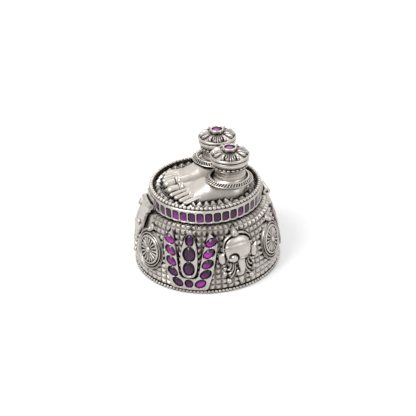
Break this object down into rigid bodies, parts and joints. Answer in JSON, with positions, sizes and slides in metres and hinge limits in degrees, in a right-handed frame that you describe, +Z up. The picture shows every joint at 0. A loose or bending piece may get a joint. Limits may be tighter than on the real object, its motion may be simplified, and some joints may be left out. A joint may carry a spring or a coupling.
{
  "type": "kumkum box",
  "caption": "Round antique silver vermilion box with relief conch, discus and tilak motifs, a stone-set hinged lid carrying a pair of feet, and a hinged hasp.",
  "frame": {"origin": "middle of the drum's foot, on the surface it stands on", "axes": "+Z up; the hasp is at -Y, the lid's hinge at +Y, +X is the right foot's side"},
  "size_m": [0.0616, 0.0618, 0.0539],
  "materials": {
    "antique_silver": "oxidised sterling silver, dark in the hollows",
    "polished_silver": "sterling silver polished on the high faces",
    "dark_silver": "sulphide-darkened silver",
    "pin_steel": "drawn wire",
    "ruby_glass": "magenta to plum paste stones"
  },
  "bodies": {
    "base": {"drum_wall": "antique_silver", "drum_floor": "dark_silver", "foot_bead_wire": "antique_silver", "neck_ring": "antique_silver", "hinge_base_leaf": "antique_silver", "hinge_pin": "pin_steel", "catch_boss": "antique_silver", "discus_1": "antique_silver", "conch_1": "antique_silver", "namam_cup_1": "antique_silver", "namam_flame_1": "antique_silver", "namam_cup_stones_1": "ruby_glass", "namam_flame_stones_1": "ruby_glass", "discus_2": "antique_silver", "conch_2": "antique_silver", "namam_cup_2": "antique_silver", "namam_flame_2": "antique_silver", "namam_cup_stones_2": "ruby_glass", "namam_flame_stones_2": "ruby_glass", "discus_3": "antique_silver", "conch_3": "antique_silver", "namam_cup_3": "antique_silver", "namam_flame_3": "antique_silver", "namam_cup_stones_3": "ruby_glass", "namam_flame_stones_3": "ruby_glass"},
    "lid": {"lid_band": "antique_silver", "lid_plate": "dark_silver", "lid_bead_wire": "antique_silver", "band_stones": "ruby_glass", "hinge_lid_leaf": "antique_silver", "hasp_bracket": "antique_silver", "hasp_pin": "pin_steel", "left_foot": "polished_silver", "left_toe_ring": "polished_silver", "left_anklet": "polished_silver", "left_ankle_collar": "polished_silver", "left_ankle_cap": "polished_silver", "left_gem_bezel": "polished_silver", "left_gem": "ruby_glass", "right_foot": "polished_silver", "right_toe_ring": "polished_silver", "right_anklet": "polished_silver", "right_ankle_collar": "polished_silver", "right_ankle_cap": "polished_silver", "right_gem_bezel": "polished_silver", "right_gem": "ruby_glass"},
    "hasp": {"hasp_plate": "polished_silver", "hasp_knob": "polished_silver"}
  },
  "joints": [
    {"name": "lid_hinge", "type": "hinge", "parent": "base", "child": "lid", "pos_m": [0, 0.02465, 0.0286], "axis": [-1, 0, 0], "range_deg": [0, 105]},
    {"name": "hasp_hinge", "type": "hinge", "parent": "lid", "child": "hasp", "pos_m": [0, -0.02445, 0.0299], "axis": [-1, 0, 0], "range_deg": [0, 140]}
  ]
}
